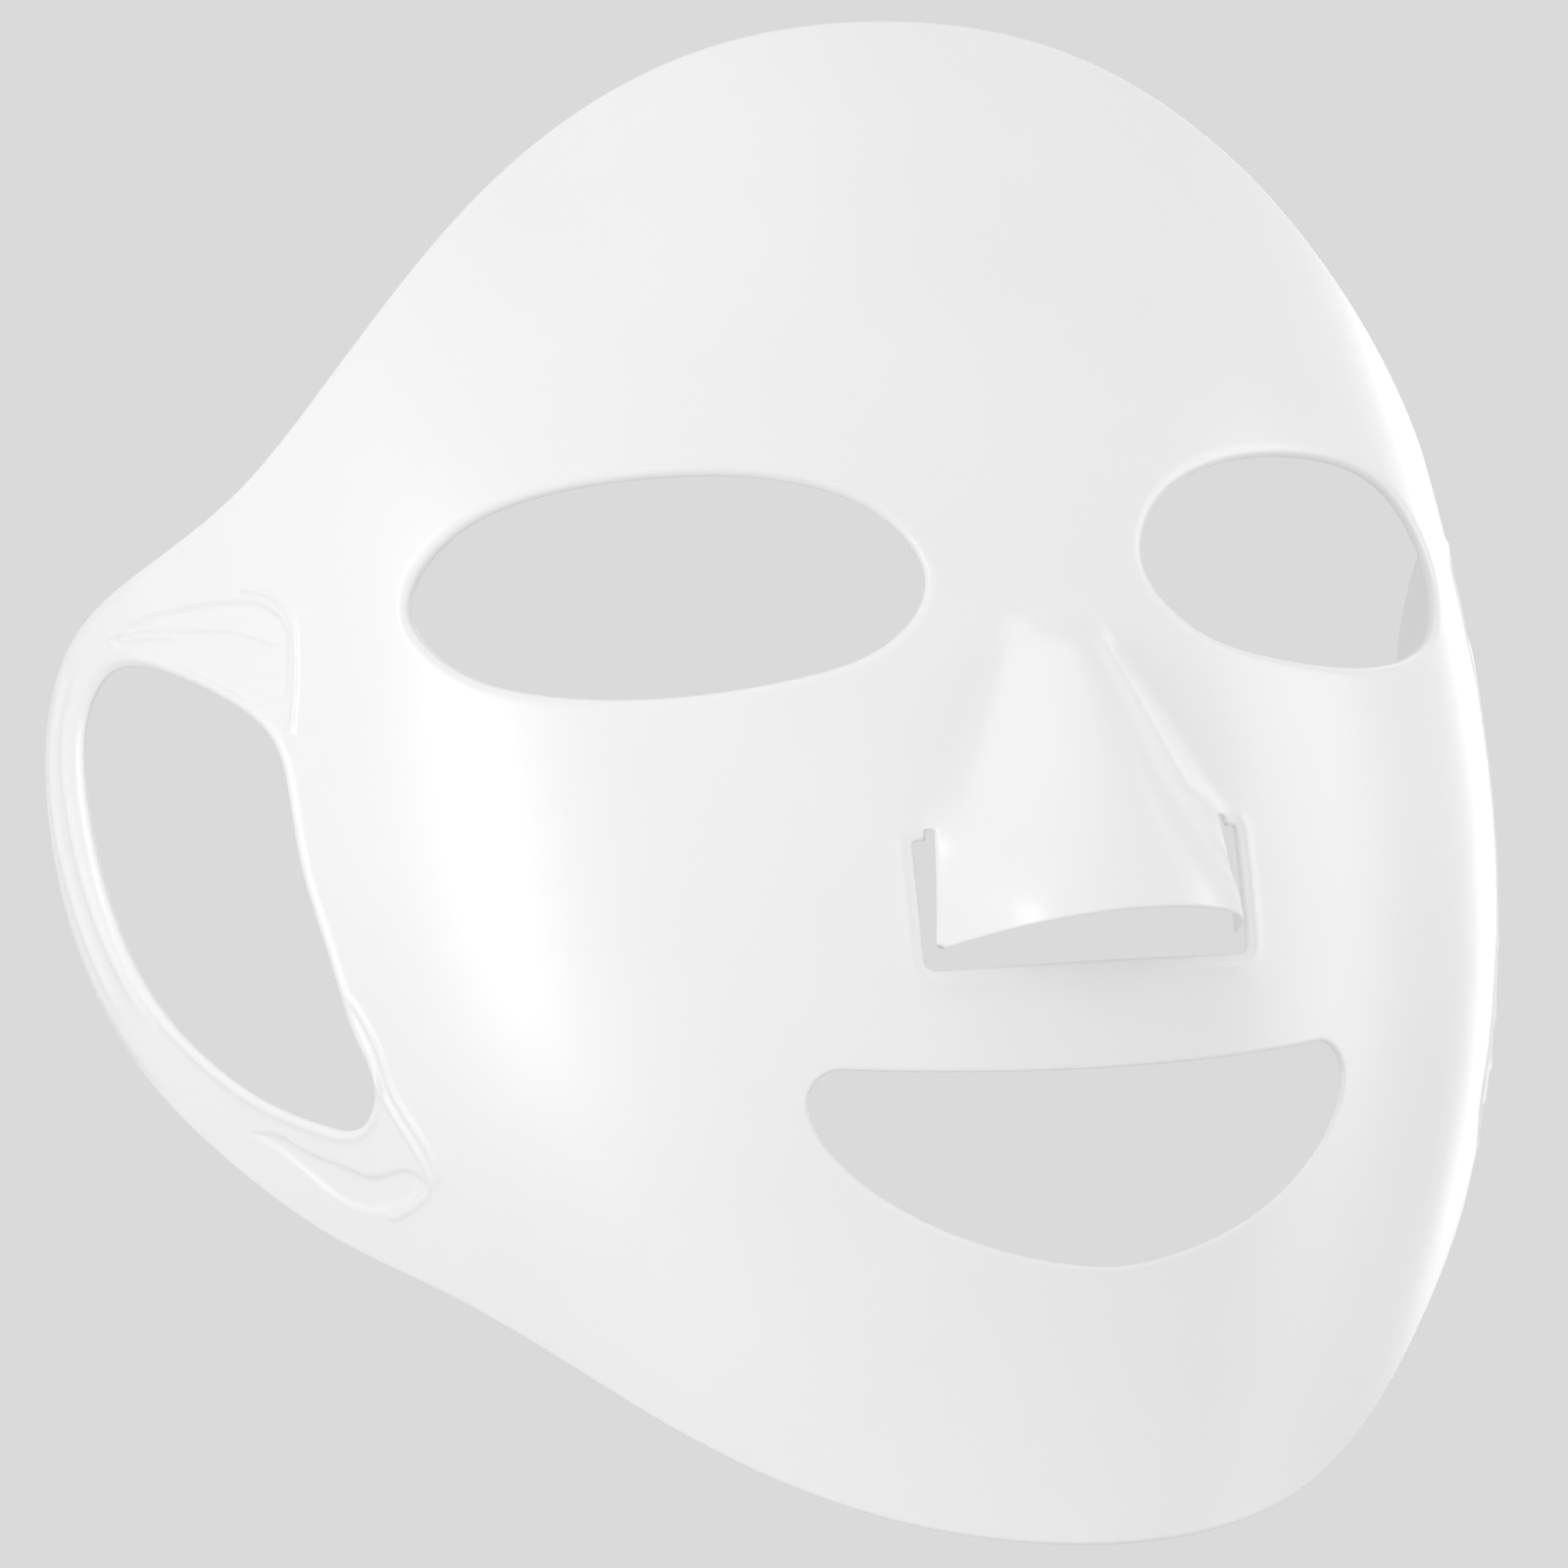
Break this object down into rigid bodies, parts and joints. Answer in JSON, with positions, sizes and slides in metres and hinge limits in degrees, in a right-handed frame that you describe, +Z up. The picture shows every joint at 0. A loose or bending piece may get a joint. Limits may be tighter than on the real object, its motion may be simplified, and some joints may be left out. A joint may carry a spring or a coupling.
{
  "type": "face mask",
  "caption": "Soft moulded sheet that covers a face, with openings for eyes, nose and mouth and ear loops moulded in one with it.",
  "frame": {"origin": "skin side of the sheet on the middle line, level with the eyes", "axes": "+Z is up, +X is the wearer's left, and the wearer faces -Y, so +Y points from the mask to the face behind it"},
  "size_m": [0.2284, 0.1369, 0.2256],
  "materials": {
    "silicone": "satin"
  },
  "bodies": {
    "mask": {"forehead": "silicone", "glabella": "silicone", "upper_lip": "silicone", "chin": "silicone", "nose_bridge": "silicone", "hood_flex_strip": "silicone", "temple_right": "silicone", "inner_cheek_right": "silicone", "outer_cheek_right": "silicone", "jaw_right": "silicone", "eye_lip_right": "silicone", "upper_fold_strip_right": "silicone", "lower_fold_strip_right": "silicone", "temple_left": "silicone", "inner_cheek_left": "silicone", "outer_cheek_left": "silicone", "jaw_left": "silicone", "eye_lip_left": "silicone", "upper_fold_strip_left": "silicone", "lower_fold_strip_left": "silicone"},
    "nose_flap": {"nose_hood": "silicone"},
    "loop_right": {"upper_arm_right": "silicone", "lower_arm_right": "silicone", "upper_web_right": "silicone", "lower_web_right": "silicone", "upper_neck_right": "silicone", "lower_neck_right": "silicone", "web_rib_1_right": "silicone"},
    "band_right": {"ear_band_right": "silicone", "band_outer_ridge_right": "silicone", "band_inner_ridge_right": "silicone"},
    "loop_left": {"upper_arm_left": "silicone", "lower_arm_left": "silicone", "upper_web_left": "silicone", "lower_web_left": "silicone", "upper_neck_left": "silicone", "lower_neck_left": "silicone", "web_rib_1_left": "silicone"},
    "band_left": {"ear_band_left": "silicone", "band_outer_ridge_left": "silicone", "band_inner_ridge_left": "silicone"}
  },
  "joints": [
    {"name": "nose_lift", "type": "hinge", "parent": "mask", "child": "nose_flap", "pos_m": [0, -0.01987, -0.02984], "axis": [-1, 0, 0], "range_deg": [-5, 20], "stiffness_Nm_per_rad": 0.03, "deforming": ["hood_flex_strip"]},
    {"name": "loop_fold_right", "type": "hinge", "parent": "mask", "child": "loop_right", "pos_m": [-0.08737, 0.04723, -0.03352], "axis": [-0.1269, 0.1561, 0.9796], "range_deg": [-75, 35], "stiffness_Nm_per_rad": 0.03, "deforming": ["upper_fold_strip_right", "lower_fold_strip_right"]},
    {"name": "band_stretch_right", "type": "slide", "parent": "loop_right", "child": "band_right", "axis": [-0.3698, 0.9291, 0], "range_m": [0, 0.012], "stiffness_N_per_m": 250, "deforming": ["upper_neck_right", "lower_neck_right"]},
    {"name": "loop_fold_left", "type": "hinge", "parent": "mask", "child": "loop_left", "pos_m": [0.08737, 0.04723, -0.03352], "axis": [-0.1269, -0.1561, -0.9796], "range_deg": [-75, 35], "stiffness_Nm_per_rad": 0.03, "deforming": ["upper_fold_strip_left", "lower_fold_strip_left"]},
    {"name": "band_stretch_left", "type": "slide", "parent": "loop_left", "child": "band_left", "axis": [0.3698, 0.9291, 0], "range_m": [0, 0.012], "stiffness_N_per_m": 250, "deforming": ["upper_neck_left", "lower_neck_left"]}
  ]
}
